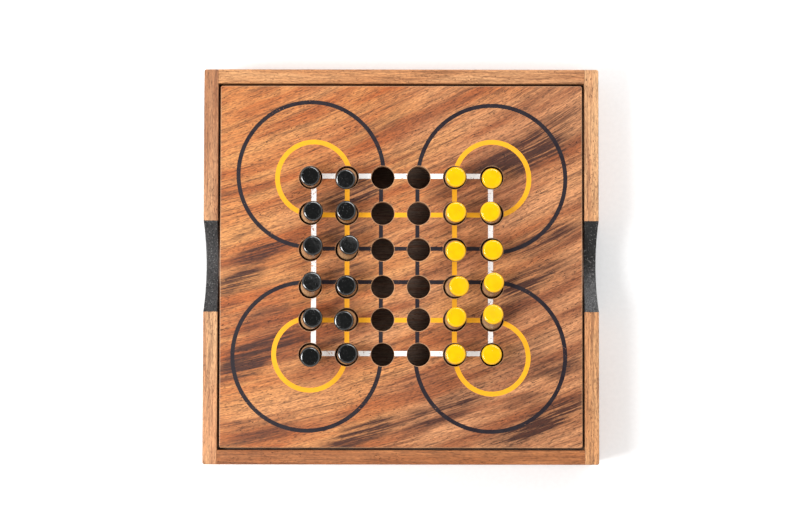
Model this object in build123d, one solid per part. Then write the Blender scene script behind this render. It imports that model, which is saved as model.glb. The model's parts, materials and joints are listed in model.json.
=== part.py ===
from build123d import *
import math
import os

# A boxed Surakarta game: a shallow square wooden box, a loose drilled board that rests on
# ledges inside it, and two sets of twelve dowel pegs that stand in the board's holes.
# Millimetres. +Z is up, +X is to the right of the player at the front (-Y) edge.
# The origin is the middle of the box's underside.

# Box
BOX_SIDE = 180.0
BOX_HEIGHT = 30.0
WALL_THICKNESS = 6.5
BOTTOM_THICKNESS = 4.0
CORNER_RADIUS = 1.0
RIM_RADIUS = 0.6
INNER_EDGE_RADIUS = 0.3

# Finger grips: the middle of each side wall dips in a notch down to the board's underside,
# and its outer face has a slight hollow of the same length.
GRIP_LENGTH = 41.5
GRIP_NOTCH_DEPTH = 6.5
GRIP_HOLLOW_DEPTH = 0.9

# How far outside a range an edge may lie and still count as inside it
TOLERANCE = 0.01

# Board
BOARD_SIDE = 165.0
BOARD_THICKNESS = 6.0
BOARD_BELOW_RIM = 0.5
BOARD_CORNER_RADIUS = 1.0
BOARD_EDGE_RADIUS = 0.5
HOLE_DIAMETER = 10.5
HOLE_EDGE_CHAMFER = 0.15

# The holes were marked out and drilled by hand, so their rows and columns are not quite evenly spaced.
COLUMNS_X = [-41.3, -24.7, -8.4, 8.0, 24.4, 41.3]
ROWS_Y = [40.5, 24.1, 7.6, -9.4, -24.3, -40.2]

# Ledges that carry the board
LEDGE_WIDTH = 5.0

# Pegs
PEG_DIAMETER = 9.0
PEG_LENGTH = 37.5
PEG_HEAD_RADIUS = 1.0
PEG_FOOT_CHAMFER = 0.5
PEG_FLOOR_GAP = 0.03

# The pegs stand loosely, so each leans a little. A shift is how far the head stands from the hole's
# axis, (to the right, to the back), two pegs to a row, from the back row to the front row.
BLACK_COLUMNS = COLUMNS_X[:2]
BLACK_HEAD_SHIFTS = [
    [(0.2, -0.3), (-0.5, -1.9)],
    [(1.7, 0.3), (-0.1, 0.5)],
    [(1.6, 1.3), (1.4, 1.6)],
    [(1.2, 2.0), (0.0, 0.3)],
    [(1.6, 0.7), (-1.1, -0.7)],
    [(0.5, -1.2), (0.7, 0.5)],
]
YELLOW_COLUMNS = COLUMNS_X[4:]
YELLOW_HEAD_SHIFTS = [
    [(0.2, -0.7), (-0.5, -1.4)],
    [(0.4, -0.1), (-1.2, 0.1)],
    [(0.2, -1.3), (0.0, -0.7)],
    [(1.8, 0.0), (0.5, 1.8)],
    [(0.5, 1.1), (0.2, 2.4)],
    [(0.2, 0.3), (-0.6, 0.1)],
]

# Worked out from the dimensions above
OPENING_SIDE = BOX_SIDE - 2 * WALL_THICKNESS
BOARD_TOP_Z = BOX_HEIGHT - BOARD_BELOW_RIM
BOARD_UNDER_Z = BOARD_TOP_Z - BOARD_THICKNESS
BOARD_MIDDLE_Z = (BOARD_TOP_Z + BOARD_UNDER_Z) / 2
PEG_HEAD_Z = BOTTOM_THICKNESS + PEG_LENGTH


def block(x_range, y_range, z_range):
    """A cuboid from its lowest and highest X, Y and Z."""
    ranges = (x_range, y_range, z_range)
    sides = [high - low for low, high in ranges]
    middle = [(low + high) / 2 for low, high in ranges]
    return Pos(*middle) * Box(*sides)


def edges_at(part, axis, place):
    """The edges that lie wholly in the plane at this place along an axis."""
    return part.edges().filter_by_position(axis, place, place)


def arc_radius(chord, depth):
    """The radius of a circular arc from its chord and its depth."""
    return ((chord / 2) ** 2 + depth**2) / (2 * depth)


def edges_between(part, x_range, z_range):
    """The edges that lie wholly between a lowest and a highest X and Z."""
    edges = []
    for edge in part.edges():
        box = edge.bounding_box()
        x_fits = x_range[0] - TOLERANCE < box.min.X and box.max.X < x_range[1] + TOLERANCE
        z_fits = z_range[0] - TOLERANCE < box.min.Z and box.max.Z < z_range[1] + TOLERANCE
        if x_fits and z_fits:
            edges.append(edge)
    return ShapeList(edges)


def side_wall(side):
    """A full-length wall on the left (side -1) or right (side 1), with its finger grip."""
    outer = side * BOX_SIDE / 2
    inner = side * OPENING_SIDE / 2
    half_depth = BOX_SIDE / 2
    wall = block(sorted((outer, inner)), (-half_depth, half_depth), (0, BOX_HEIGHT))
    corners = edges_at(wall, Axis.X, outer).filter_by(Axis.Z)
    wall = fillet(corners, CORNER_RADIUS)
    hollow_radius = arc_radius(GRIP_LENGTH, GRIP_HOLLOW_DEPTH)
    hollow_axis_x = outer + side * (hollow_radius - GRIP_HOLLOW_DEPTH)
    wall -= Pos(hollow_axis_x, 0, BOX_HEIGHT / 2) * Cylinder(hollow_radius, 2 * BOX_HEIGHT)
    notch_radius = arc_radius(GRIP_LENGTH, GRIP_NOTCH_DEPTH)
    notch_axis_z = BOX_HEIGHT - GRIP_NOTCH_DEPTH + notch_radius
    wall -= Pos(outer, 0, notch_axis_z) * Rot(0, 90, 0) * Cylinder(notch_radius, 4 * WALL_THICKNESS)
    rim_z_range = (BOX_HEIGHT - GRIP_NOTCH_DEPTH, BOX_HEIGHT)
    rim = edges_between(wall, sorted((outer, inner)), rim_z_range)
    inner_rim = edges_between(wall, (inner, inner), rim_z_range)
    notch_ends = rim.filter_by(Axis.X).filter_by_position(Axis.Y, -GRIP_LENGTH, GRIP_LENGTH)
    wall = fillet(rim - inner_rim - notch_ends, RIM_RADIUS)
    return fillet(edges_between(wall, (inner, inner), rim_z_range), INNER_EDGE_RADIUS)


def end_wall(side):
    """A wall between the two side walls, at the front (side -1) or back (side 1)."""
    outer = side * BOX_SIDE / 2
    inner = side * OPENING_SIDE / 2
    half_width = OPENING_SIDE / 2
    wall = block((-half_width, half_width), sorted((outer, inner)), (0, BOX_HEIGHT))
    wall = fillet(edges_at(wall, Axis.Z, BOX_HEIGHT).filter_by_position(Axis.Y, outer, outer), RIM_RADIUS)
    inner_rim = edges_at(wall, Axis.Z, BOX_HEIGHT).filter_by_position(Axis.Y, inner, inner)
    return fillet(inner_rim, INNER_EDGE_RADIUS)


def bottom_panel():
    """The floor of the box, let in between the four walls."""
    half = OPENING_SIDE / 2
    return block((-half, half), (-half, half), (0, BOTTOM_THICKNESS))


def side_ledge(side):
    """A strip along the inside of a side wall."""
    outer = side * OPENING_SIDE / 2
    inner = outer - side * LEDGE_WIDTH
    half = OPENING_SIDE / 2
    return block(sorted((outer, inner)), (-half, half), (BOTTOM_THICKNESS, BOARD_UNDER_Z))


def end_ledge(side):
    """A strip along the inside of an end wall, cut to fit between the side ledges."""
    outer = side * OPENING_SIDE / 2
    inner = outer - side * LEDGE_WIDTH
    half = OPENING_SIDE / 2 - LEDGE_WIDTH
    return block((-half, half), sorted((outer, inner)), (BOTTOM_THICKNESS, BOARD_UNDER_Z))


def game_board():
    """The loose board with its six rows of six through holes."""
    half = BOARD_SIDE / 2
    board = block((-half, half), (-half, half), (BOARD_UNDER_Z, BOARD_TOP_Z))
    board = fillet(board.edges().filter_by(Axis.Z), BOARD_CORNER_RADIUS)
    board = fillet(edges_at(board, Axis.Z, BOARD_TOP_Z), BOARD_EDGE_RADIUS)
    board = fillet(edges_at(board, Axis.Z, BOARD_UNDER_Z), BOARD_EDGE_RADIUS)
    drill = Cylinder(HOLE_DIAMETER / 2, 2 * BOARD_THICKNESS)
    board -= [Pos(x, y, BOARD_MIDDLE_Z) * drill for x in COLUMNS_X for y in ROWS_Y]
    mouths = board.edges().filter_by(GeomType.CIRCLE).filter_by(lambda edge: edge.radius > 2 * BOARD_CORNER_RADIUS)
    return chamfer(mouths, HOLE_EDGE_CHAMFER)


def peg(hole_x, hole_y, head_shift):
    """A peg standing on the box's floor and leaning through the middle of its hole."""
    rise = PEG_HEAD_Z - BOARD_MIDDLE_Z
    shift_x, shift_y = head_shift
    upward = Vector(shift_x, shift_y, rise).normalized()
    lean = math.acos(upward.Z)
    foot_z = BOTTOM_THICKNESS + PEG_FLOOR_GAP + PEG_DIAMETER / 2 * math.sin(lean)
    below_middle = (BOARD_MIDDLE_Z - foot_z) / upward.Z
    foot = Vector(hole_x, hole_y, BOARD_MIDDLE_Z) - upward * below_middle
    dowel = Pos(0, 0, PEG_LENGTH / 2) * Cylinder(PEG_DIAMETER / 2, PEG_LENGTH)
    dowel = fillet(edges_at(dowel, Axis.Z, PEG_LENGTH), PEG_HEAD_RADIUS)
    dowel = chamfer(edges_at(dowel, Axis.Z, 0), PEG_FOOT_CHAMFER)
    return Plane(origin=foot, z_dir=upward).location * dowel


def peg_set(colour, columns, head_shifts):
    """Twelve pegs of one colour, numbered from the back row to the front row."""
    places = [(x, y, shift) for y, row in zip(ROWS_Y, head_shifts) for x, shift in zip(columns, row)]
    return {f"peg_{colour}_{number:02d}": peg(*place) for number, place in enumerate(places, 1)}


def make_parts():
    """Every sub-part by name."""
    return {
        "wall_left": side_wall(-1),
        "wall_right": side_wall(1),
        "wall_front": end_wall(-1),
        "wall_back": end_wall(1),
        "bottom_panel": bottom_panel(),
        "ledge_left": side_ledge(-1),
        "ledge_right": side_ledge(1),
        "ledge_front": end_ledge(-1),
        "ledge_back": end_ledge(1),
        "game_board": game_board(),
        **peg_set("black", BLACK_COLUMNS, BLACK_HEAD_SHIFTS),
        **peg_set("yellow", YELLOW_COLUMNS, YELLOW_HEAD_SHIFTS),
    }


os.makedirs("parts", exist_ok=True)
for name, solid in make_parts().items():
    export_step(solid, f"parts/{name}.step")
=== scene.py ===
import json
import math
import random

import bpy
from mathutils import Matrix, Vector


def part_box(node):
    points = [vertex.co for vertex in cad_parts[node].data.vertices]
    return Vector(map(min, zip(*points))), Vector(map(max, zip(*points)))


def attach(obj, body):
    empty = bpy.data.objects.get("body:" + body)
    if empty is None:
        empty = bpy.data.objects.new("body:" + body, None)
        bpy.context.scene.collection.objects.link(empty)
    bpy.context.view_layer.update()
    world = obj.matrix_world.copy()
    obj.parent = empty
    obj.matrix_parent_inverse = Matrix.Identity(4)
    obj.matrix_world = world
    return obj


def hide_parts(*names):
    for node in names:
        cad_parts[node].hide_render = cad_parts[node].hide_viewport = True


# A boxed Surakarta game: the looks of its wood, printed lines, stained grips and dipped pegs.
# Meshes, lights and the camera are in metres, in the frame of the CAD model, and MM turns
# millimetres into metres. The materials, and the tables that say so, are in millimetres.

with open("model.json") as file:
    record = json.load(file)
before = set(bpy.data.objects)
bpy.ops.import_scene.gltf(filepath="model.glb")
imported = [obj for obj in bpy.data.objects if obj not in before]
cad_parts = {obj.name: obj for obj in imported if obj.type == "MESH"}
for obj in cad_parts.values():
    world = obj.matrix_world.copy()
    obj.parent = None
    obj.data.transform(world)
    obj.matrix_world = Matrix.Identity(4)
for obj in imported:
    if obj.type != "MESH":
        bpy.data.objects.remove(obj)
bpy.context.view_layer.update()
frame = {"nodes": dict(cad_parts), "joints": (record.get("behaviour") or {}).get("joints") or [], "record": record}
MM = 0.001

# ---------------------------------------------------------------- dimensions

# The board's holes
HOLE_RADIUS = 5.25 * MM

# Printed lines
LINE_FILM = 0.03 * MM
LINE_SUNK = 0.01 * MM
LINE_HOLE_GAP = 0.2 * MM
LINE_END = HOLE_RADIUS + LINE_HOLE_GAP
LINE_LANES = 6
LOOP_STEPS = 96

# Finger grips, in millimetres
GRIP_HALF_LENGTH = 20.75

# Pegs
PEG_RADIUS = 4.5 * MM
PEG_SEGMENTS = 56
CAP_DEPTH = 1.25 * MM
CAP_THICKNESS = 0.05 * MM
CAP_EDGE_RADIUS = 1.0 * MM
CAP_EDGE_STEPS = 8
CAP_DOME = 0.06 * MM
FOOT_CHAMFER = 0.5 * MM

# The board's grain runs up to the right, and steeper towards the back right corner.
GRAIN_SLOPE = 0.38
GRAIN_SLOPE_BY_X = 0.00045
GRAIN_SLOPE_BY_Y = 0.0012

# The dark streaks go right through the board. In millimetres
STREAK_MIDDLE_Z = 28
STREAK_HALF_HEIGHT = 60

# How much light a level surface gets from the strip, the softbox and the room
KEY_LIGHT = 0.75
FILL_LIGHT = 0.42
ROOM_LIGHT = 0.78
FULL_LIGHT = KEY_LIGHT + FILL_LIGHT + ROOM_LIGHT

# What a satin surface's sheen adds to its colour
SHEEN_LIGHT = 0.026

# The dark patch of the ceiling, in degrees from straight up, and its light.
# The rest of the room is brighter to make up for it.
DARK_CEILING_MIDDLE = 14
DARK_CEILING_EDGE = 30
DARK_CEILING_LIGHT = 0.10
ROOM_MAKE_UP = 1.12

# How rough wall, panel and peg wood is between its fibres and on them
WOOD_ROUGHNESS = (0.58, 0.46)

# Studio
FLOOR_HALF_SIDE = 6.0
SOFTBOX_DISTANCE = 0.95

# Camera: its distance from the target, its angles in degrees and the target's x and y
CAMERA_DISTANCE = 1.0033
CAMERA_TILT = 2.5
CAMERA_TURN = 0.09
CAMERA_TARGET = (-1.8 * MM, 0.8 * MM)
CAMERA_LENS = 100.0
CAMERA_SENSOR = 36.0


def rgb(red, green, blue):
    """The surface colour that looks like these 8-bit sRGB values in full light."""
    channels = []
    for value in (red, green, blue):
        share = value / 255
        linear = share / 12.92 if share <= 0.04045 else ((share + 0.055) / 1.055) ** 2.4
        channels.append(max(linear - SHEEN_LIGHT, 0.001) / FULL_LIGHT)
    return (*channels, 1.0)


# ---------------------------------------------------------------- materials

class Graph:
    """Short calls that build one material's nodes."""

    def __init__(self, name):
        self.material = bpy.data.materials.new(name)
        self.material.use_nodes = True
        self.nodes = self.material.node_tree.nodes
        self.links = self.material.node_tree.links
        self.shader = self.nodes["Principled BSDF"]

    def put(self, value, socket):
        """Link a socket to another, or set its value."""
        if isinstance(value, bpy.types.NodeSocket):
            self.links.new(value, socket)
        else:
            socket.default_value = value

    def add(self, kind, values, **settings):
        """A new node with its settings and its input values."""
        node = self.nodes.new("ShaderNode" + kind)
        for name, value in settings.items():
            setattr(node, name, value)
        for name, value in values.items():
            self.put(value, node.inputs[name])
        return node

    def math(self, operation, first, second=0.0, third=0.0, clamp=False):
        values = {0: first, 1: second, 2: third}
        return self.add("Math", values, operation=operation, use_clamp=clamp).outputs[0]

    def fade(self, value, low, high, start=0.0, end=1.0):
        """Start below low, end above high, and smooth in between."""
        values = {"Value": value, "From Min": low, "From Max": high, "To Min": start, "To Max": end}
        return self.add("MapRange", values, interpolation_type="SMOOTHSTEP").outputs["Result"]

    def mix(self, share, first, second, kind="MIX"):
        values = {0: share, 6: first, 7: second}
        return self.add("Mix", values, data_type="RGBA", blend_type=kind).outputs[2]

    def place(self):
        """The place on the object in millimetres, as a vector and as x, y and z."""
        coordinates = self.add("TexCoord", {}).outputs["Object"]
        scaled = self.add("VectorMath", {0: coordinates, 3: 1 / MM}, operation="SCALE").outputs[0]
        parts = self.add("SeparateXYZ", {0: scaled}).outputs
        return scaled, parts[0], parts[1], parts[2]

    def vector(self, x, y, z):
        return self.add("CombineXYZ", {0: x, 1: y, 2: z}).outputs[0]

    def noise(self, place, size, seed, detail=2.0, roughness=0.5):
        """Noise from 0 to 1, whose features have this size in millimetres along each axis."""
        spread = tuple(1 / length for length in size)
        shift = (seed * 7.31, seed * 3.17, seed * 5.93)
        values = {0: place, 1: spread, 2: shift}
        scaled = self.add("VectorMath", values, operation="MULTIPLY_ADD").outputs[0]
        values = {"Vector": scaled, "Scale": 1.0, "Detail": detail, "Roughness": roughness}
        return self.add("TexNoise", values).outputs["Fac"]

    def dress(self, colour, roughness, height, depth):
        """Give the shader its colour, roughness and relief, whose depth is in millimetres."""
        bump = self.add("Bump", {"Strength": 1.0, "Distance": depth * MM, "Height": height})
        self.put(colour, self.shader.inputs["Base Color"])
        self.put(roughness, self.shader.inputs["Roughness"])
        self.put(bump.outputs[0], self.shader.inputs["Normal"])
        return self.material


def wood_layers(graph, grain, seed, tones, streaks=0.0, line_strength=0.55, dash_strength=0.52):
    """Wood in grain coordinates: along, across and through, in millimetres.

    The tones are pale and deep wood, dark lines and pores. Returns its colour, its pores from
    0 to 1 and its fibres from 0 to 1."""
    pale, deep, streak_tone, pore_tone = tones
    bands = graph.noise(grain, (90, 10, 10), seed, detail=4, roughness=0.6)
    lines = graph.noise(grain, (36, 1.2, 1.2), seed + 1, detail=4, roughness=0.7)
    fibres = graph.noise(grain, (8, 0.6, 0.6), seed + 2, detail=2, roughness=0.6)
    flecks = graph.noise(grain, (1.5, 0.55, 0.55), seed + 5, detail=2, roughness=0.6)
    dashes = graph.noise(grain, (2.6, 0.45, 0.45), seed + 3, detail=1)
    pits = graph.noise(grain, (1.5, 0.5, 0.5), seed + 6)
    clusters = graph.noise(grain, (30, 9, 9), seed + 4)
    colour = graph.mix(graph.fade(bands, 0.34, 0.66), pale, deep)
    lined = graph.math("MULTIPLY", graph.fade(lines, 0.50, 0.63), line_strength)
    feather = graph.math("MULTIPLY_ADD", graph.fade(lines, 0.36, 0.60), 1.05, 0.28)
    streak_share = graph.math("MULTIPLY", streaks, feather, clamp=True)
    colour = graph.mix(graph.math("MAXIMUM", lined, streak_share), colour, streak_tone)
    shade = graph.fade(fibres, 0.30, 0.70, 0.76, 1.20)
    shade = graph.math("MULTIPLY", shade, graph.fade(flecks, 0.30, 0.70, 0.84, 1.15))
    colour = graph.mix(1.0, colour, graph.vector(shade, shade, shade), "MULTIPLY")
    dark_dashes = graph.math("MULTIPLY", graph.fade(dashes, 0.55, 0.68), dash_strength)
    threshold = graph.fade(clusters, 0.3, 0.7, 0.72, 0.62)
    pores = graph.fade(graph.math("SUBTRACT", pits, threshold), 0.0, 0.06)
    marks = graph.math("MAXIMUM", dark_dashes, graph.math("MULTIPLY", pores, 0.85))
    return graph.mix(marks, colour, pore_tone), pores, fibres


def wood_relief(graph, pores, fibres):
    """The height of bare wood: fine fibres with the pores cut in."""
    return graph.math("MULTIPLY_ADD", pores, -1.0, graph.math("MULTIPLY", fibres, 0.35))


# Dark figure in the board: the two ends in millimetres, the half width and the strength. The streaks right of the
# black pegs, between their rows, are partly the pegs' shadows painted into the wood.
BOARD_STREAKS_AND_PEG_SHADOWS = [
    ((-90, -14), (-56, 0), 6.0, 0.9),
    ((-86, -4), (-40, 15), 6.5, 0.85),
    ((-82, 11), (-58, 21), 3.0, 0.45),
    ((-80, 29), (-46, 40), 3.5, 0.3),
    ((-82, -32), (-44, -16), 5.0, 0.55),
    ((-94, -56), (-38, -24), 11.0, 0.95),
    # These five streaks, right of the black pegs and between their rows, are partly the pegs' painted shadows.
    ((-58, -38), (-6, -26), 6.0, 0.6),
    ((-46, -8), (-4, 0), 7.0, 0.65),
    ((-44, -22), (-8, -16), 5.0, 0.4),
    ((-46, 26), (0, 40), 8.0, 0.85),
    ((-46, 11), (-4, 23), 7.0, 0.65),
    ((-90, -84), (-40, -68), 8.0, 0.6),
    ((-44, -86), (8, -66), 7.5, 0.9),
    ((-8, -76), (48, -56), 7.0, 0.9),
    ((8, -63), (48, -50), 4.0, 0.55),
    ((40, -66), (70, -56), 5.0, 0.5),
    ((44, -78), (92, -56), 8.5, 0.95),
    ((26, -84), (86, -68), 7.0, 0.7),
    ((50, -52), (92, -38), 6.5, 0.65),
    ((38, -48), (76, -30), 12.0, 0.45),
    ((38, -26), (66, -8), 8.0, 0.6),
    ((28, -16), (88, 6), 8.0, 0.8),
    ((36, 2), (92, 22), 9.0, 0.8),
    ((6, 30), (34, 40), 7.0, 0.5),
    ((20, 38), (90, 62), 10.0, 0.95),
    ((40, 46), (74, 58), 6.0, 0.45),
    ((50, 54), (92, 76), 7.0, 0.65),
    ((36, 66), (90, 88), 6.0, 0.2),
    ((-30, 50), (8, 76), 7.0, 0.5),
]


def board_grain(graph):
    """The board's curved grain coordinates, and its x, y and z in millimetres."""
    place, x, y, z = graph.place()
    slope = graph.math("MULTIPLY_ADD", x, GRAIN_SLOPE_BY_X, GRAIN_SLOPE)
    slope = graph.math("MULTIPLY_ADD", y, GRAIN_SLOPE_BY_Y, slope)
    across = graph.math("SUBTRACT", y, graph.math("MULTIPLY", x, slope))
    waver = graph.noise(place, (60, 35, 30), 11.0, detail=1)
    across = graph.math("MULTIPLY_ADD", waver, 4.0, across)
    along = graph.math("MULTIPLY_ADD", y, GRAIN_SLOPE, x)
    return graph.vector(along, across, z), x, y


def board_figure_and_peg_shadows(graph):
    """How dark the board's figure is at each place: soft streaks along the grain, some of them partly the black
    pegs' painted shadows.
    """
    place, x, y, z = graph.place()
    waver = graph.noise(place, (22, 9, 20), 13.0, detail=3)
    y = graph.math("MULTIPLY_ADD", waver, 9.0, graph.math("SUBTRACT", y, 4.5))
    bent = graph.vector(x, y, z)
    figure = 0.0
    for (x0, y0), (x1, y1), half_width, strength in BOARD_STREAKS_AND_PEG_SHADOWS:
        middle = ((x0 + x1) / 2, (y0 + y1) / 2, STREAK_MIDDLE_Z)
        turn = (0, 0, math.atan2(y1 - y0, x1 - x0))
        size = (math.hypot(x1 - x0, y1 - y0) / 2, half_width, STREAK_HALF_HEIGHT)
        values = {"Vector": bent, "Location": middle, "Rotation": turn, "Scale": size}
        turned = graph.add("Mapping", values, vector_type="TEXTURE").outputs[0]
        spot = graph.add("TexGradient", {0: turned}, gradient_type="SPHERICAL").outputs["Fac"]
        # Add up the streaks, some of them partly painted peg shadows.
        figure = graph.math("MULTIPLY_ADD", graph.fade(spot, 0.0, 0.7), strength, figure)
    return figure


def board_wood(graph):
    """The board's wood: orange at the back left, browner at the front right, with dark figure that in places is
    partly the pegs' painted shadows.
    """
    grain, x, y = board_grain(graph)
    region = graph.math("MULTIPLY_ADD", x, 0.0042, graph.math("MULTIPLY", y, -0.0012))
    patches = graph.noise(grain, (60, 22, 22), 21.0, detail=1)
    patches = graph.math("MULTIPLY_ADD", patches, 1.3, -0.65)
    tone = graph.math("ADD", graph.math("ADD", region, 0.5), patches)
    share = graph.fade(tone, 0.0, 1.0)
    pale = graph.mix(share, rgb(255, 176, 109), rgb(250, 176, 124))
    deep = graph.mix(share, rgb(216, 121, 69), rgb(178, 110, 76))
    tones = (pale, deep, rgb(98, 64, 54), rgb(60, 36, 28))
    return wood_layers(graph, grain, 1.0, tones, board_figure_and_peg_shadows(graph))


def nearest_line(graph, coordinate, places):
    """The distance in millimetres from a coordinate to the nearest of these places, in metres."""
    nearest = None
    for place in places:
        distance = graph.math("ABSOLUTE", graph.math("SUBTRACT", coordinate, place / MM))
        nearest = graph.math("MINIMUM", nearest, distance) if nearest else distance
    return nearest


def board_rim_highlight(graph):
    """1 on the board's edges and round the mouths of its holes, where a lighter painted highlight goes, 0
    elsewhere.
    """
    place, x, y, _ = graph.place()
    across = nearest_line(graph, x, COLUMNS)
    along = nearest_line(graph, y, ROWS)
    along_squared = graph.math("MULTIPLY", along, along)
    reach = graph.math("SQRT", graph.math("MULTIPLY_ADD", across, across, along_squared))
    ragged = graph.math("MULTIPLY_ADD", graph.noise(place, (1.2, 1.2, 1.2), 15.0), 0.3, -0.15)
    mouth = graph.math("ADD", graph.math("SUBTRACT", reach, HOLE_RADIUS / MM), ragged)
    ring = graph.math("MULTIPLY", graph.fade(mouth, 0.12, 0.42, 1.0, 0.0), graph.fade(mouth, -0.25, -0.1))
    half_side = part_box("game_board")[1].x / MM
    rim = graph.math("MAXIMUM", graph.math("ABSOLUTE", x), graph.math("ABSOLUTE", y))
    rim = graph.math("ADD", graph.math("SUBTRACT", rim, half_side), ragged)
    edge = graph.math("MULTIPLY", graph.fade(rim, -0.5, -0.3), graph.fade(rim, -0.15, 0.0, 0.8, 0.1))
    return graph.math("MAXIMUM", ring, edge)


def board_material():
    graph = Graph("board_wood")
    colour, pores, fibres = board_wood(graph)
    # The board's edges and the mouths of its holes get a lighter colour: a painted highlight.
    worn = graph.math("MULTIPLY", board_rim_highlight(graph), 0.6)
    colour = graph.mix(worn, colour, rgb(240, 196, 156))
    roughness = graph.fade(fibres, 0.2, 0.8, 0.52, 0.42)
    roughness = graph.math("MULTIPLY_ADD", pores, 0.25, roughness)
    graph.shader.inputs["Specular IOR Level"].default_value = 0.35
    return graph.dress(colour, roughness, wood_relief(graph, pores, fibres), 0.06)


def ink_material(name, colour, breaks, speck_share):
    """Printed ink: even colour with specks where the wood's pores show through."""
    graph = Graph(name)
    wood, pores, fibres = board_wood(graph)
    place = graph.place()[0]
    specks = graph.noise(place, (0.8, 0.8, 0.8), 31.0, detail=3, roughness=0.7)
    blotches = graph.noise(place, (9, 9, 9), 33.0, detail=2)
    threshold = graph.fade(blotches, 0.35, 0.7, breaks + 0.08, breaks - 0.04)
    worn = graph.fade(graph.math("SUBTRACT", specks, threshold), 0.0, 0.04)
    showing = graph.math("MAXIMUM", worn, graph.math("MULTIPLY", pores, speck_share))
    tint = graph.noise(place, (3, 3, 3), 35.0)
    dull = tuple(channel * 0.9 for channel in colour[:3]) + (1.0,)
    ink = graph.mix(graph.fade(tint, 0.3, 0.7), colour, dull)
    roughness = graph.fade(tint, 0.3, 0.7, 0.42, 0.55)
    graph.shader.inputs["Specular IOR Level"].default_value = 0.35
    relief = graph.math("MULTIPLY_ADD", fibres, 0.3, graph.math("MULTIPLY", showing, -0.7))
    return graph.dress(graph.mix(showing, ink, wood), roughness, relief, 0.05)


def plank_grain(graph, along_axis):
    """Straight grain that wavers a little, along X or along Y, and the place along the plank."""
    place, x, y, z = graph.place()
    waver = graph.noise(place, (60, 60, 25), 41.0, detail=1)
    if along_axis == "X":
        along, across = x, y
    else:
        along, across = y, x
    across = graph.math("MULTIPLY_ADD", waver, 3.0, across)
    return graph.vector(along, across, z), along, place


def plank_wood(graph, along_axis, seed, start_tones, end_tones):
    """Wood whose tones change along the plank, from its low end to its high end."""
    grain, along, place = plank_grain(graph, along_axis)
    patches = graph.noise(grain, (90, 5, 9), seed + 9, detail=2)
    tone = graph.math("MULTIPLY_ADD", along, 1 / 180, patches)
    share = graph.fade(tone, 0.1, 0.9)
    pale = graph.mix(share, start_tones[0], end_tones[0])
    deep = graph.mix(share, start_tones[1], end_tones[1])
    tones = (pale, deep, rgb(150, 96, 68), rgb(104, 64, 44))
    layers = wood_layers(graph, grain, seed, tones, dash_strength=0.42)
    return layers, place, along


def finish_wood(graph, colour, pores, fibres):
    roughness = graph.fade(fibres, 0.2, 0.8, *WOOD_ROUGHNESS)
    roughness = graph.math("MULTIPLY_ADD", pores, 0.2, roughness)
    graph.shader.inputs["Specular IOR Level"].default_value = 0.3
    return graph.dress(colour, roughness, wood_relief(graph, pores, fibres), 0.06)


def end_wall_material(name, seed, start_tones, end_tones):
    graph = Graph(name)
    layers = plank_wood(graph, "X", seed, start_tones, end_tones)[0]
    return finish_wood(graph, *layers)


def side_wall_material(name, seed, start_tones, end_tones, grip_front, grip_back):
    """Bare wood, its middle stained black for the finger grip, with scuffs and pale specks. The stain's grey runs
    from grip_front to grip_back; where they differ, the lighter front is a painted reflection and the darker back
    painted shade. The pale specks and the brightest scuff flecks are painted glints.
    """
    graph = Graph(name)
    layers, place, along = plank_wood(graph, "Y", seed, start_tones, end_tones)
    colour, pores, fibres = layers
    distance = graph.math("ABSOLUTE", along)
    ragged = graph.noise(place, (0.5, 2.0, 2.0), seed + 20, detail=2)
    past_grip = graph.math("SUBTRACT", distance, GRIP_HALF_LENGTH + 0.25)
    edge = graph.math("MULTIPLY_ADD", ragged, 0.5, past_grip)
    stained = graph.fade(edge, -0.12, 0.12, 1.0, 0.0)
    scuffs = graph.noise(place, (1.1, 1.1, 1.1), seed + 21, detail=4, roughness=0.75)
    patches = graph.noise(place, (8, 8, 8), seed + 22, detail=2)
    limit = graph.fade(patches, 0.35, 0.7, 0.78, 0.60)
    worn = graph.fade(graph.math("SUBTRACT", scuffs, limit), 0.0, 0.12, 0.0, 0.45)
    # Front to back grey of the stain: on the right wall a painted reflection in front and painted shade behind.
    grey = graph.mix(graph.fade(along, -7, 4), grip_front, grip_back)
    # Mottle the stain with its scuffs, up to twice as bright; its brightest flecks are painted glints.
    scuff_glint_speckle = graph.fade(scuffs, 0.40, 0.62, 0.25, 2.0)
    grey = graph.mix(1.0, grey, graph.vector(scuff_glint_speckle, scuff_glint_speckle, scuff_glint_speckle), "MULTIPLY")
    # Pale specks on the stain: painted glints.
    specks = graph.noise(place, (0.6, 0.6, 0.6), seed + 23, detail=1)
    grey = graph.mix(graph.fade(specks, 0.60, 0.74, 0.0, 0.8), grey, rgb(158, 157, 155))
    stain = graph.mix(worn, grey, rgb(150, 92, 60))
    colour = graph.mix(stained, colour, stain)
    bare_roughness = graph.fade(fibres, 0.2, 0.8, *WOOD_ROUGHNESS)
    roughness = graph.fade(scuffs, 0.3, 0.7, 0.36, 0.52)
    low = graph.math("MULTIPLY", graph.math("SUBTRACT", 1.0, stained), bare_roughness)
    roughness = graph.math("MULTIPLY_ADD", stained, roughness, low)
    bare = wood_relief(graph, pores, fibres)
    relief = graph.math("MULTIPLY_ADD", graph.math("MULTIPLY", stained, scuffs), 3.0, bare)
    graph.shader.inputs["Specular IOR Level"].default_value = 0.4
    return graph.dress(colour, roughness, relief, 0.06)


def peg_wood_material():
    """Pale dowel wood with its grain along the peg."""
    graph = Graph("peg_wood")
    place, x, y, z = graph.place()
    grain = graph.vector(z, x, y)
    tones = (rgb(255, 214, 164), rgb(252, 198, 146), rgb(224, 164, 118), rgb(190, 132, 94))
    layers = wood_layers(graph, grain, 51.0, tones, line_strength=0.3, dash_strength=0.3)
    return finish_wood(graph, *layers)


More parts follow.
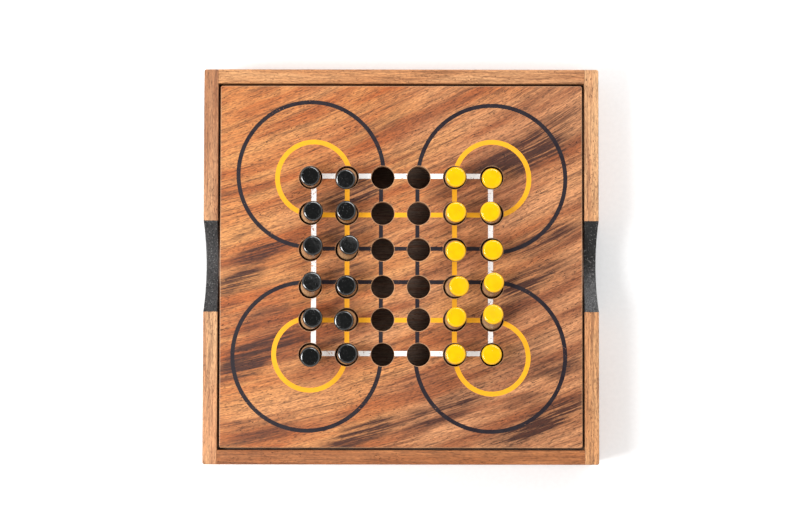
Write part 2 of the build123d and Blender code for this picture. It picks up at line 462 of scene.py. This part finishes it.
def cap_material(name, colour, speck_colour, index):
    """Thick glossy dip paint, with slight ripples and specks of dust. On the black paint the specks are lighter
    and so are also painted glints.
    """
    graph = Graph(name)
    place = graph.place()[0]
    ripples = graph.noise(place, (3.2, 3.2, 3.2), 61.0, detail=1)
    orange_peel = graph.noise(place, (0.9, 0.9, 0.9), 62.0, detail=2)
    dust = graph.noise(place, (0.35, 0.35, 0.35), 63.0, detail=1)
    specks = graph.fade(dust, 0.70, 0.78)
    shade = graph.fade(ripples, 0.3, 0.7, 0.94, 1.04)
    painted = graph.mix(1.0, colour, graph.vector(shade, shade, shade), "MULTIPLY")
    painted = graph.mix(graph.math("MULTIPLY", specks, 0.5), painted, speck_colour)
    roughness = graph.fade(orange_peel, 0.3, 0.75, 0.06, 0.16)
    relief = graph.math("MULTIPLY_ADD", ripples, 1.0, graph.math("MULTIPLY", orange_peel, 0.3))
    relief = graph.math("MULTIPLY_ADD", specks, 0.25, relief)
    graph.shader.inputs["IOR"].default_value = index
    return graph.dress(painted, roughness, relief, 0.10)


def paint_nodes():
    """Give every shown CAD node its material."""
    light = (rgb(252, 190, 134), rgb(232, 160, 106))
    medium = (rgb(244, 180, 128), rgb(214, 148, 102))
    bright = (rgb(255, 198, 144), rgb(246, 172, 120))
    brown = (rgb(230, 168, 122), rgb(194, 132, 92))
    red = (rgb(220, 146, 96), rgb(180, 110, 70))
    inside = (rgb(168, 142, 124), rgb(146, 122, 106))
    # The pale grey of the right grip's front is a painted reflection and the dark grey of its back is painted
    # shade; the middle grey is the stain itself.
    grip_painted_reflection_grey, middle_grey, grip_painted_shade_grey = rgb(82, 82, 83), rgb(66, 64, 64), rgb(52, 52, 51)
    materials = {
        "wall_back": end_wall_material("wall_wood_back", 2.0, light, medium),
        "wall_front": end_wall_material("wall_wood_front", 3.0, red, red),
        "wall_left": side_wall_material("wall_wood_left", 4.0, bright, brown, middle_grey, middle_grey),
        "wall_right": side_wall_material("wall_wood_right", 5.0, light, bright, grip_painted_reflection_grey, grip_painted_shade_grey),
        "game_board": board_material(),
        "bottom_panel": end_wall_material("panel_wood", 6.0, inside, inside),
        "ledge_left": end_wall_material("ledge_wood", 7.0, inside, inside),
    }
    for name in ("ledge_right", "ledge_front", "ledge_back"):
        materials[name] = materials["ledge_left"]
    for name, material in materials.items():
        mesh = frame["nodes"][name].data
        mesh.materials.clear()
        mesh.materials.append(material)


# ---------------------------------------------------------------- meshes

def new_object(name, points, faces, materials, face_materials=None, smooth=True):
    mesh = bpy.data.meshes.new(name)
    mesh.from_pydata(points, [], faces)
    for material in materials:
        mesh.materials.append(material)
    for number, polygon in enumerate(mesh.polygons):
        polygon.use_smooth = smooth
        if face_materials:
            polygon.material_index = face_materials[number]
    mesh.validate()
    piece = bpy.data.objects.new(name, mesh)
    bpy.context.scene.collection.objects.link(piece)
    return piece


# ---------------------------------------------------------------- the holes and the lines

def peg_bodies():
    """Each peg's body by name, with the unit vector of its axis."""
    axes = {}
    for joint in frame["joints"]:
        if joint["child"].startswith("peg_"):
            axes[joint["child"]] = Vector(joint["axis"]).normalized()
    return axes


def hole_grid():
    """The holes' x by column from the left, and their y by row from the back."""
    low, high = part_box("game_board")
    middle_z = (low.z + high.z) / 2
    centres = []
    for name, axis in peg_bodies().items():
        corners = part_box(name)
        middle = (corners[0] + corners[1]) / 2
        centres.append(middle + axis * ((middle_z - middle.z) / axis.z))
    for mount in frame["record"]["mounts"]:
        if mount["kind"] == "bore":
            centres.append(Vector(mount["pos_m"]))
    centres.sort(key=lambda centre: centre.x)
    columns = [sum(c.x for c in centres[n * 6:n * 6 + 6]) / 6 for n in range(6)]
    centres.sort(key=lambda centre: -centre.y)
    rows = [sum(c.y for c in centres[n * 6:n * 6 + 6]) / 6 for n in range(6)]
    return columns, rows


COLUMNS, ROWS = hole_grid()

# How far each printed line lies from the middle of its holes, in millimetres
COLUMN_LINE_SHIFTS = [1.5, 0.1, -0.8, -0.6, -0.1, -0.6]
ROW_LINE_SHIFTS = [0.6, -0.7, 0.4, 2.2, -0.2, 0.5]
LINE_WIDTHS = {"white": 2.3 * MM, "yellow": 2.2 * MM, "black": 1.85 * MM}
LINE_COLOURS = ["white", "yellow", "black", "black", "yellow", "white"]


def loop_table():
    """Each corner loop: its colour, its centre and radius in millimetres, and the column and row,
    counted from 0, of each of the two outer holes that it joins."""
    black, yellow = "black", "yellow"
    return [
        (black, (-41.1, 41.8), 33.1, (2, 0), (0, 2)),
        (black, (41.2, 39.8), 33.6, (5, 2), (3, 0)),
        (black, (-42.9, -41.0), 33.7, (0, 3), (2, 5)),
        (black, (40.6, -41.1), 34.0, (3, 5), (5, 3)),
        (yellow, (-39.8, 40.1), 16.6, (1, 0), (0, 1)),
        (yellow, (41.3, 39.8), 16.9, (5, 1), (4, 0)),
        (yellow, (-41.5, -40.0), 16.35, (0, 4), (1, 5)),
        (yellow, (41.3, -41.5), 16.5, (4, 5), (5, 4)),
    ]


def lane_offsets(width):
    return [width * (lane / LINE_LANES - 0.5) for lane in range(LINE_LANES + 1)]


def straight_lanes(line_place, hole_place, start, end, width):
    """Lanes of a straight line between two holes, as (along, across) points."""
    lanes = []
    for offset in lane_offsets(width):
        across = line_place + offset
        trim = math.sqrt(max(LINE_END**2 - (across - hole_place) ** 2, 0.0))
        lanes.append([(start + trim, across), (end - trim, across)])
    return lanes


def loop_lanes(centre, radius, first_hole, last_hole, width):
    """Lanes of a loop that turns left from one hole round to another."""
    lanes = []
    for offset in lane_offsets(width):
        lane_radius = radius - offset
        angles = []
        for hole, way in ((first_hole, 1), (last_hole, -1)):
            reach = math.hypot(hole[0] - centre[0], hole[1] - centre[1])
            cosine = (lane_radius**2 + reach**2 - LINE_END**2) / (2 * lane_radius * reach)
            towards = math.atan2(hole[1] - centre[1], hole[0] - centre[0])
            angles.append(towards + way * math.acos(min(cosine, 1.0)))
        start, end = angles
        while end < start:
            end += 2 * math.pi
        lane = []
        for step in range(LOOP_STEPS + 1):
            angle = start + (end - start) * step / LOOP_STEPS
            x = centre[0] + lane_radius * math.cos(angle)
            y = centre[1] + lane_radius * math.sin(angle)
            lane.append((x, y))
        lanes.append(lane)
    return lanes


class Film:
    """A thin closed layer built of ribbons."""

    def __init__(self, bottom_z, top_z):
        self.heights = (bottom_z, top_z)
        self.points = []
        self.faces = []

    def ribbon(self, lanes):
        """Add a closed ribbon whose lanes run from its right edge to its left edge."""
        count = len(lanes[0])
        starts = []
        for z in self.heights:
            starts.append(len(self.points))
            for lane in lanes:
                self.points += [(x, y, z) for x, y in lane]
        low, high = starts

        def at(start, lane, step):
            return start + lane * count + step

        for lane in range(len(lanes) - 1):
            for step in range(count - 1):
                corners = [(lane, step), (lane, step + 1), (lane + 1, step + 1), (lane + 1, step)]
                self.faces.append([at(high, *corner) for corner in corners])
                self.faces.append([at(low, *corner) for corner in reversed(corners)])
        last = len(lanes) - 1
        rim = [(0, step) for step in range(count)]
        rim += [(lane, count - 1) for lane in range(1, last + 1)]
        rim += [(last, step) for step in range(count - 2, -1, -1)]
        rim += [(lane, 0) for lane in range(last - 1, 0, -1)]
        for here, there in zip(rim, rim[1:] + rim[:1]):
            self.faces.append([at(low, *here), at(low, *there), at(high, *there), at(high, *here)])


def printed_lines():
    """The three colours of printed line, each a thin film on the board."""
    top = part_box("game_board")[1].z
    films = {colour: Film(top - LINE_SUNK, top + LINE_FILM) for colour in LINE_WIDTHS}
    for number, colour in enumerate(LINE_COLOURS):
        film, width = films[colour], LINE_WIDTHS[colour]
        row_y = ROWS[number] + ROW_LINE_SHIFTS[number] * MM
        for start, end in zip(COLUMNS, COLUMNS[1:]):
            film.ribbon(straight_lanes(row_y, ROWS[number], start, end, width))
        column_x = COLUMNS[number] + COLUMN_LINE_SHIFTS[number] * MM
        upward = ROWS[::-1]
        for start, end in zip(upward, upward[1:]):
            lanes = straight_lanes(column_x, COLUMNS[number], start, end, width)
            film.ribbon([[(across, along) for along, across in lane] for lane in lanes[::-1]])
    for colour, centre, radius, first, last in loop_table():
        holes = [(COLUMNS[column], ROWS[row]) for column, row in (first, last)]
        centre = (centre[0] * MM, centre[1] * MM)
        start, end = turn_order(centre, *holes)
        lanes = loop_lanes(centre, radius * MM, start, end, LINE_WIDTHS[colour])
        films[colour].ribbon(lanes[::-1])
    inks = {
        "white": ink_material("white_ink", (0.80, 0.79, 0.78, 1.0), 0.60, 0.8),
        "yellow": ink_material("yellow_ink", (0.75, 0.335, 0.002, 1.0), 0.72, 0.2),
        "black": ink_material("black_ink", rgb(53, 42, 52), 0.66, 0.3),
    }
    for colour, film in films.items():
        piece = new_object(f"{colour}_lines", film.points, film.faces, [inks[colour]], smooth=False)
        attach(piece, "board")


def turn_order(centre, first_hole, last_hole):
    """The two holes in the order that makes a left turn round the outside of the board's corner."""
    outward = math.atan2(centre[1], centre[0])
    angles = [math.atan2(hole[1] - centre[1], hole[0] - centre[0]) for hole in (first_hole, last_hole)]
    turn = (outward - angles[0]) % (2 * math.pi)
    whole = (angles[1] - angles[0]) % (2 * math.pi)
    return (first_hole, last_hole) if turn < whole else (last_hole, first_hole)


# ---------------------------------------------------------------- pegs

def peg_rings(length, wander):
    """Rings of a peg from foot to head: radius, height, how far it wanders, and painted or not."""
    radius = PEG_RADIUS
    paint_radius = radius + CAP_THICKNESS
    line = length - CAP_DEPTH
    rings = [
        (radius - FOOT_CHAMFER, 0.0, 0.0, False),
        (radius - 0.1 * MM, FOOT_CHAMFER * 0.8, 0.0, False),
        (radius, FOOT_CHAMFER * 1.2, 0.0, False),
    ]
    for share in (0.25, 0.5, 0.75):
        rings.append((radius, length * share, 0.0, False))
    rings += [
        (radius, line - 0.02 * MM, wander, False),
        (radius + 0.6 * CAP_THICKNESS, line, wander, True),
        (paint_radius, line + 0.12 * MM, wander, True),
        (paint_radius, length - CAP_EDGE_RADIUS - 0.05 * MM, wander * 0.3, True),
    ]
    for step in range(CAP_EDGE_STEPS + 1):
        angle = math.pi / 2 * step / CAP_EDGE_STEPS
        ring_radius = paint_radius - CAP_EDGE_RADIUS * (1 - math.cos(angle))
        rings.append((ring_radius, length - CAP_EDGE_RADIUS * (1 - math.sin(angle)), 0.0, True))
    flat_radius = paint_radius - CAP_EDGE_RADIUS
    for share in (0.75, 0.45, 0.15):
        rings.append((flat_radius * share, length + CAP_DOME * (1 - share**2), 0.0, True))
    return rings


def make_peg(name, axis, paint, wood):
    low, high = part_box(name)
    middle = (low + high) / 2
    reaches = [vertex.co.dot(axis) for vertex in frame["nodes"][name].data.vertices]
    length = max(reaches) - min(reaches)
    foot = middle + axis * (min(reaches) - middle.dot(axis))
    side = axis.orthogonal().normalized()
    other = axis.cross(side)
    chance = random.Random(name)
    phase = chance.uniform(0, 2 * math.pi)
    wander = chance.uniform(0.10, 0.22) * MM
    points, faces, painted = [], [], []
    rings = peg_rings(length, wander)
    for ring_radius, height, ring_wander, _ in rings:
        for step in range(PEG_SEGMENTS):
            angle = 2 * math.pi * step / PEG_SEGMENTS
            wave = math.sin(2 * angle + phase) + 0.5 * math.sin(5 * angle - phase)
            across = side * (ring_radius * math.cos(angle))
            across += other * (ring_radius * math.sin(angle))
            points.append(foot + axis * (height + ring_wander * wave) + across)
    for ring in range(len(rings) - 1):
        for step in range(PEG_SEGMENTS):
            here = ring * PEG_SEGMENTS + step
            there = ring * PEG_SEGMENTS + (step + 1) % PEG_SEGMENTS
            faces.append([here, there, there + PEG_SEGMENTS, here + PEG_SEGMENTS])
            painted.append(1 if rings[ring + 1][3] else 0)
    faces.append(list(range(PEG_SEGMENTS - 1, -1, -1)))
    painted.append(0)
    last = (len(rings) - 1) * PEG_SEGMENTS
    faces.append([last + step for step in range(PEG_SEGMENTS)])
    painted.append(1)
    peg = new_object(name.replace("peg_", "dipped_peg_"), points, faces, [wood, paint], painted)
    peg.data.polygons[len(faces) - 2].use_smooth = False
    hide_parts(name)
    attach(peg, name)


def make_pegs():
    wood = peg_wood_material()
    black, yellow = (0.0013, 0.0015, 0.0015, 1.0), (0.74, 0.385, 0.001, 1.0)
    # The black paint's grey specks are dust and also painted glints; the yellow paint's brown specks are dust.
    grey_dust_glint_speck, brown_speck = (0.04, 0.04, 0.04, 1.0), (0.35, 0.18, 0.002, 1.0)
    paints = {
        "black": cap_material("black_dip", black, grey_dust_glint_speck, index=1.85),
        "yellow": cap_material("yellow_dip", yellow, brown_speck, index=1.5),
    }
    for name, axis in peg_bodies().items():
        colour = name.split("_")[1]
        make_peg(name, axis, paints[colour], wood)


# ---------------------------------------------------------------- studio

def aim(thing, place, target):
    thing.location = place
    thing.rotation_euler = (Vector(target) - Vector(place)).to_track_quat("-Z", "Y").to_euler()


def softbox(name, azimuth, elevation, width, height, floor_light):
    """A soft light that gives a white floor this much light. Azimuth is from +X towards +Y."""
    distance = SOFTBOX_DISTANCE
    data = bpy.data.lights.new(name, "AREA")
    data.shape = "RECTANGLE"
    data.size, data.size_y = width, height
    slant = math.sin(math.radians(elevation))
    data.energy = floor_light * math.pi**2 * distance**2 / slant
    light = bpy.data.objects.new(name, data)
    bpy.context.scene.collection.objects.link(light)
    level = math.cos(math.radians(elevation)) * distance
    turn = math.radians(azimuth)
    place = (level * math.cos(turn), level * math.sin(turn), slant * distance)
    aim(light, place, (0, 0, 0.02))


def make_studio():
    half = FLOOR_HALF_SIDE
    corners = [(-half, -half, 0), (half, -half, 0), (half, half, 0), (-half, half, 0)]
    graph = Graph("studio_floor")
    place = graph.place()[0]
    paper = graph.noise(place, (2, 2, 2), 71.0, detail=2)
    shade = graph.fade(paper, 0.3, 0.7, 0.84, 0.86)
    material = graph.dress(graph.vector(shade, shade, shade), 0.9, paper, 0.02)
    graph.shader.inputs["Specular IOR Level"].default_value = 0.0
    floor = new_object("studio_floor", corners, [[0, 1, 2, 3]], [material], smooth=False)
    softbox("key_strip", azimuth=196, elevation=51, width=0.30, height=0.52, floor_light=KEY_LIGHT)
    softbox("fill_box", azimuth=66, elevation=46, width=0.62, height=0.30, floor_light=FILL_LIGHT)
    make_room()
    bpy.context.scene.view_settings.view_transform = "Standard"


def make_room():
    """A bright room with a dark patch of ceiling straight above the table."""
    world = bpy.data.worlds.new("studio_room")
    world.use_nodes = True
    nodes, links = world.node_tree.nodes, world.node_tree.links
    direction = nodes.new("ShaderNodeTexCoord")
    height = nodes.new("ShaderNodeSeparateXYZ")
    patch = nodes.new("ShaderNodeMapRange")
    patch.interpolation_type = "SMOOTHSTEP"
    patch.inputs["From Min"].default_value = math.cos(math.radians(DARK_CEILING_EDGE))
    patch.inputs["From Max"].default_value = math.cos(math.radians(DARK_CEILING_MIDDLE))
    patch.inputs["To Min"].default_value = ROOM_LIGHT * ROOM_MAKE_UP
    patch.inputs["To Max"].default_value = DARK_CEILING_LIGHT
    links.new(direction.outputs["Generated"], height.inputs[0])
    links.new(height.outputs["Z"], patch.inputs["Value"])
    links.new(patch.outputs["Result"], nodes["Background"].inputs["Strength"])
    nodes["Background"].inputs["Color"].default_value = (1.0, 1.0, 1.0, 1.0)
    bpy.context.scene.world = world


def make_camera():
    """A long lens nearly straight above the box, standing slightly towards its front."""
    rim_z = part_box("wall_back")[1].z
    target = Vector((*CAMERA_TARGET, rim_z))
    tilt = math.radians(CAMERA_TILT)
    data = bpy.data.cameras.new("camera")
    data.sensor_width = CAMERA_SENSOR
    data.lens = CAMERA_LENS
    camera = bpy.data.objects.new("camera", data)
    bpy.context.scene.collection.objects.link(camera)
    camera.location = target + Vector((0, -math.sin(tilt), math.cos(tilt))) * CAMERA_DISTANCE
    camera.rotation_euler = (tilt, 0, math.radians(CAMERA_TURN))
    bpy.context.scene.camera = camera


paint_nodes()
printed_lines()
make_pegs()
make_studio()
make_camera()
